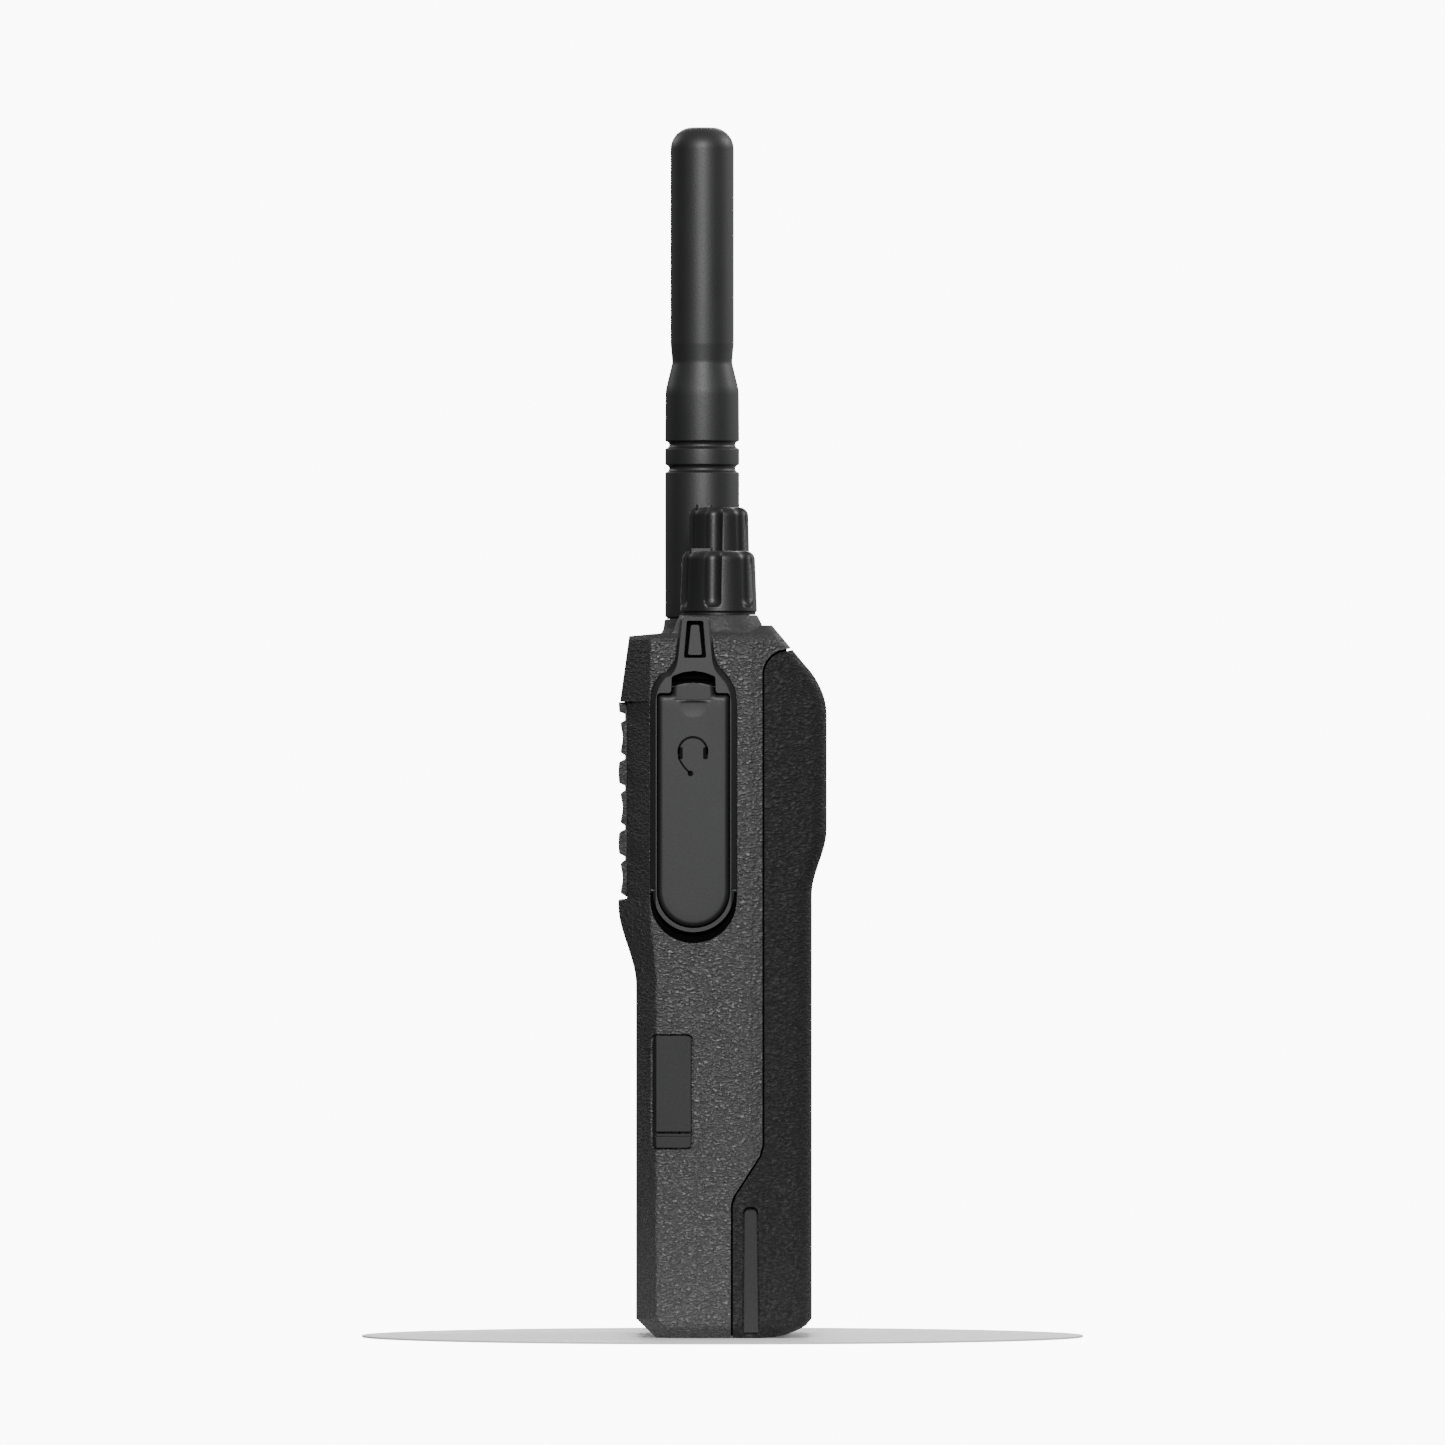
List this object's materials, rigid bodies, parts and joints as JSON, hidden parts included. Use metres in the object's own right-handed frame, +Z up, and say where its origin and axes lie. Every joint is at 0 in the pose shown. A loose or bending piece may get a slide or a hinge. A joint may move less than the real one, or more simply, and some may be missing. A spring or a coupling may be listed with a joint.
{
  "type": "portable two-way radio",
  "caption": "Handheld two-way radio with a ribbed speaker grille, two fluted control knobs, screw-in stub antenna, side push-to-talk button, hinged accessory cover and slide-off battery.",
  "frame": {"origin": "middle of the base, on the surface the radio stands on", "axes": "+Z up along the antenna, -Y towards the speaker grille, +Y towards the battery, +X towards the accessory cover"},
  "size_m": [0.0568, 0.0358, 0.208],
  "materials": {
    "housing_plastic": "fine leather grain",
    "battery_plastic": "fine leather grain",
    "grille_plastic": "fine grain",
    "knob_plastic": "satin",
    "antenna_rubber": "satin",
    "frame_plastic": "smooth satin",
    "cover_plastic": "smooth satin",
    "door_rubber": "smooth",
    "button_rubber": "smooth matte",
    "inner_plastic": "smooth",
    "latch_plastic": "satin",
    "cast_aluminium": "as cast",
    "seal_rubber": "matte",
    "speaker_cloth": "woven",
    "cone_paper": "pressed paper",
    "circuit_board": "solder mask",
    "cell_wrap": "foil",
    "status_lens": "clear",
    "steel": "brushed",
    "brass": "machined"
  },
  "bodies": {
    "radio": {"accessory_frame": "frame_plastic", "accessory_hinge_pin": "steel", "accessory_jack": "inner_plastic", "antenna_socket": "brass", "board_shield": "steel", "channel_nut": "brass", "channel_switch": "inner_plastic", "chassis": "cast_aluminium", "chassis_screw_1": "steel", "chassis_screw_2": "steel", "chassis_screw_3": "steel", "chassis_screw_4": "steel", "chassis_seal": "seal_rubber", "contact_block": "inner_plastic", "contact_spring_1": "brass", "contact_spring_2": "brass", "contact_spring_3": "brass", "front_housing": "housing_plastic", "main_board": "circuit_board", "microphone": "steel", "microphone_boot": "seal_rubber", "port_door_anchor": "door_rubber", "port_socket": "steel", "ptt_bezel": "frame_plastic", "side_switch_board": "circuit_board", "speaker_basket": "steel", "speaker_bracket": "steel", "speaker_cloth": "speaker_cloth", "speaker_cone": "cone_paper", "speaker_grille": "grille_plastic", "speaker_magnet": "steel", "status_lens": "status_lens", "volume_nut": "brass", "volume_switch": "inner_plastic"},
    "battery": {"battery_case": "battery_plastic", "battery_cover": "inner_plastic", "battery_cell_left": "cell_wrap", "battery_cell_right": "cell_wrap", "battery_board": "circuit_board", "battery_pad_1": "brass", "battery_pad_2": "brass", "battery_pad_3": "brass", "charge_contact_1": "brass", "charge_contact_2": "brass", "latch_spring": "steel"},
    "battery_latch": {"battery_latch": "latch_plastic", "latch_tongue": "steel"},
    "volume_control": {"volume_knob": "knob_plastic", "volume_shaft": "steel"},
    "channel_control": {"channel_knob": "knob_plastic", "channel_shaft": "steel"},
    "antenna_mount": {"antenna_stud": "brass"},
    "antenna": {"antenna_sheath": "antenna_rubber", "antenna_coil": "brass"},
    "accessory_cover": {"accessory_cover": "cover_plastic"},
    "port_door": {"port_door": "door_rubber"},
    "ptt_button": {"ptt_button": "button_rubber"},
    "upper_side_button": {"upper_side_button": "button_rubber"},
    "lower_side_button": {"lower_side_button": "button_rubber"}
  },
  "joints": [
    {"name": "battery_slide", "type": "slide", "parent": "radio", "child": "battery", "axis": [0, 0, -1], "range_m": [0, 0.012], "deforming": ["latch_tongue"]},
    {"name": "battery_latch_slide", "type": "slide", "parent": "battery", "child": "battery_latch", "axis": [0, 1, 0], "range_m": [0, 0.0022], "stiffness_N_per_m": 400, "springref_m": -0.002, "deforming": ["latch_spring"]},
    {"name": "volume_turn", "type": "hinge", "parent": "radio", "child": "volume_control", "pos_m": [0.0155, -0.00065, 0.1241], "axis": [0, 0, -1], "range_deg": [0, 285]},
    {"name": "channel_turn", "type": "hinge", "parent": "radio", "child": "channel_control", "pos_m": [0.0002, -0.00065, 0.1241], "axis": [0, 0, -1], "range_deg": [0, 337.5]},
    {"name": "antenna_rise", "type": "slide", "parent": "radio", "child": "antenna_mount", "axis": [0, 0, 1], "range_m": [0, 0.00375]},
    {"name": "antenna_unscrew", "type": "hinge", "parent": "antenna_mount", "child": "antenna", "pos_m": [-0.0172, -0.0035, 0.1234], "axis": [0, 0, 1], "range_deg": [0, 1800]},
    {"name": "accessory_cover_swing", "type": "hinge", "parent": "radio", "child": "accessory_cover", "pos_m": [0.02757, -0.00496, 0.11135], "axis": [0, -1, 0], "range_deg": [0, 100]},
    {"name": "port_door_swing", "type": "hinge", "parent": "radio", "child": "port_door", "pos_m": [0.0273, -0.0086, 0.0353], "axis": [0, 1, 0], "range_deg": [0, 100], "stiffness_Nm_per_rad": 0.0005},
    {"name": "ptt_press", "type": "slide", "parent": "radio", "child": "ptt_button", "axis": [1, 0, 0], "range_m": [0, 0.0005], "stiffness_N_per_m": 600, "springref_m": -0.002},
    {"name": "upper_button_press", "type": "slide", "parent": "radio", "child": "upper_side_button", "axis": [1, 0, 0], "range_m": [0, 0.0004], "stiffness_N_per_m": 600, "springref_m": -0.0015},
    {"name": "lower_button_press", "type": "slide", "parent": "radio", "child": "lower_side_button", "axis": [1, 0, 0], "range_m": [0, 0.0004], "stiffness_N_per_m": 600, "springref_m": -0.0015}
  ],
  "couplings": [
    {"joint": "antenna_unscrew", "follows": "antenna_rise", "rad_per_m": 8377.5}
  ]
}
